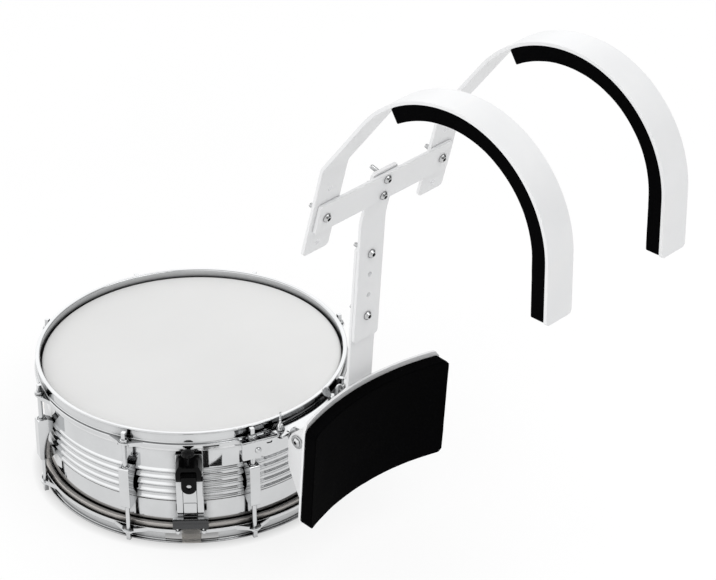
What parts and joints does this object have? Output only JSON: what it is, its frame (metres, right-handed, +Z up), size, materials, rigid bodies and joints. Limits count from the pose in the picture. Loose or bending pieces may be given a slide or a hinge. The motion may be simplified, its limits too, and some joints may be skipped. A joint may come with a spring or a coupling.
{
  "type": "marching snare drum",
  "caption": "Chrome marching snare drum with a throw-off strainer, held by a white shoulder carrier with a belly plate, adjustable bars and padded over-shoulder arches.",
  "frame": {"origin": "on the floor under the lower hoop, below the middle of the outfit's box", "axes": "+Z up along the drum's axis, +Y from the player towards the drum, +X to the player's right"},
  "size_m": [0.3756, 0.8254, 0.6952],
  "materials": {
    "mirror_chrome": "mirror chrome plating",
    "bolt_chrome": "bright zinc and chrome plating",
    "hoop_metal": "plain bright aluminium",
    "wire_steel": "drawn wire",
    "pin_steel": "ground steel",
    "vent_brass": "bright",
    "coated_film": "fine matt coating",
    "clear_film": "hazy clear film",
    "strap_plastic": "translucent strip",
    "black_moulding": "fine satin moulding",
    "white_powder_coat": "white powder coat",
    "black_foam": "closed-cell foam skin"
  },
  "bodies": {
    "drum": {"shell": "mirror_chrome", "vent_grommet": "vent_brass", "batter_head": "coated_film", "snare_head": "clear_film", "batter_flesh_hoop": "hoop_metal", "snare_flesh_hoop": "hoop_metal", "batter_hoop": "mirror_chrome", "snare_hoop": "mirror_chrome", "lug_1": "mirror_chrome", "lug_2": "mirror_chrome", "lug_3": "mirror_chrome", "lug_4": "mirror_chrome", "lug_5": "mirror_chrome", "lug_6": "mirror_chrome", "lug_7": "mirror_chrome", "lug_8": "mirror_chrome", "batter_rod_1": "mirror_chrome", "batter_rod_2": "mirror_chrome", "batter_rod_3": "mirror_chrome", "batter_rod_4": "mirror_chrome", "batter_rod_5": "mirror_chrome", "batter_rod_6": "mirror_chrome", "batter_rod_7": "mirror_chrome", "batter_rod_8": "mirror_chrome", "strainer_base": "mirror_chrome", "strainer_housing": "black_moulding", "lever_pin": "pin_steel", "butt_plate": "mirror_chrome", "butt_clamp": "mirror_chrome", "snare_strap_rear": "strap_plastic", "drum_bracket_left": "mirror_chrome", "drum_bracket_right": "mirror_chrome", "tilt_yoke": "mirror_chrome"},
    "throw_lever": {"throw_lever": "black_moulding"},
    "snare_slide": {"strainer_slide": "mirror_chrome", "strainer_clamp": "mirror_chrome", "snare_strap_front": "strap_plastic"},
    "snares": {"snare_wires": "wire_steel"},
    "tension_knob": {"tension_knob": "black_moulding"},
    "wing_screw_left": {"wing_screw_left": "mirror_chrome"},
    "wing_screw_right": {"wing_screw_right": "mirror_chrome"},
    "carrier": {"tilt_bolt_left": "bolt_chrome", "tilt_bolt_right": "bolt_chrome", "belly_plate": "white_powder_coat", "belly_pad": "black_foam", "lower_bar": "white_powder_coat", "upper_bar": "white_powder_coat", "plate_bolt_lower": "bolt_chrome", "plate_bolt_upper": "bolt_chrome", "height_bolt_lower": "bolt_chrome", "height_bolt_upper": "bolt_chrome", "crossbar": "white_powder_coat", "crossbar_bolt_lower": "bolt_chrome", "crossbar_bolt_upper": "bolt_chrome", "shoulder_bolt_left": "bolt_chrome", "shoulder_bolt_right": "bolt_chrome"},
    "shoulder_left": {"shoulder_bar_left": "white_powder_coat", "shoulder_pad_left": "black_foam"},
    "shoulder_right": {"shoulder_bar_right": "white_powder_coat", "shoulder_pad_right": "black_foam"}
  },
  "joints": [
    {"name": "lever_throw", "type": "hinge", "parent": "drum", "child": "throw_lever", "pos_m": [-0.13718, 0.0877, 0.102], "axis": [-0.7071, 0.7071, 0], "range_deg": [0, 100]},
    {"name": "slide_drop", "type": "slide", "parent": "drum", "child": "snare_slide", "axis": [0, 0, -1], "range_m": [0, 0.003]},
    {"name": "snare_drop", "type": "hinge", "parent": "drum", "child": "snares", "pos_m": [0.11667, 0.34156, 0.0076], "axis": [0.7071, -0.7071, 0], "range_deg": [0, 0.52]},
    {"name": "knob_turn", "type": "hinge", "parent": "drum", "child": "tension_knob", "pos_m": [-0.13965, 0.08523, 0.13], "axis": [0, 0, 1], "continuous": true},
    {"name": "wing_turn_left", "type": "hinge", "parent": "drum", "child": "wing_screw_left", "pos_m": [-0.04302, 0.03218, 0.15], "axis": [0, 0, 1], "continuous": true},
    {"name": "wing_turn_right", "type": "hinge", "parent": "drum", "child": "wing_screw_right", "pos_m": [0.04302, 0.03218, 0.15], "axis": [0, 0, 1], "continuous": true},
    {"name": "carrier_tilt", "type": "hinge", "parent": "drum", "child": "carrier", "pos_m": [0, 0.00288, 0.142], "axis": [1, 0, 0], "range_deg": [-10, 10]},
    {"name": "shoulder_swivel_left", "type": "hinge", "parent": "carrier", "child": "shoulder_left", "pos_m": [-0.09, -0.08892, 0.49337], "axis": [0, 0.9636, 0.2672], "range_deg": [-8, 8]},
    {"name": "shoulder_swivel_right", "type": "hinge", "parent": "carrier", "child": "shoulder_right", "pos_m": [0.09, -0.08892, 0.49337], "axis": [0, 0.9636, 0.2672], "range_deg": [-8, 8]}
  ],
  "couplings": [
    {"joint": "lever_throw", "follows": "slide_drop", "rad_per_m": 581.77},
    {"joint": "snare_drop", "follows": "slide_drop", "rad_per_m": 3.025}
  ]
}
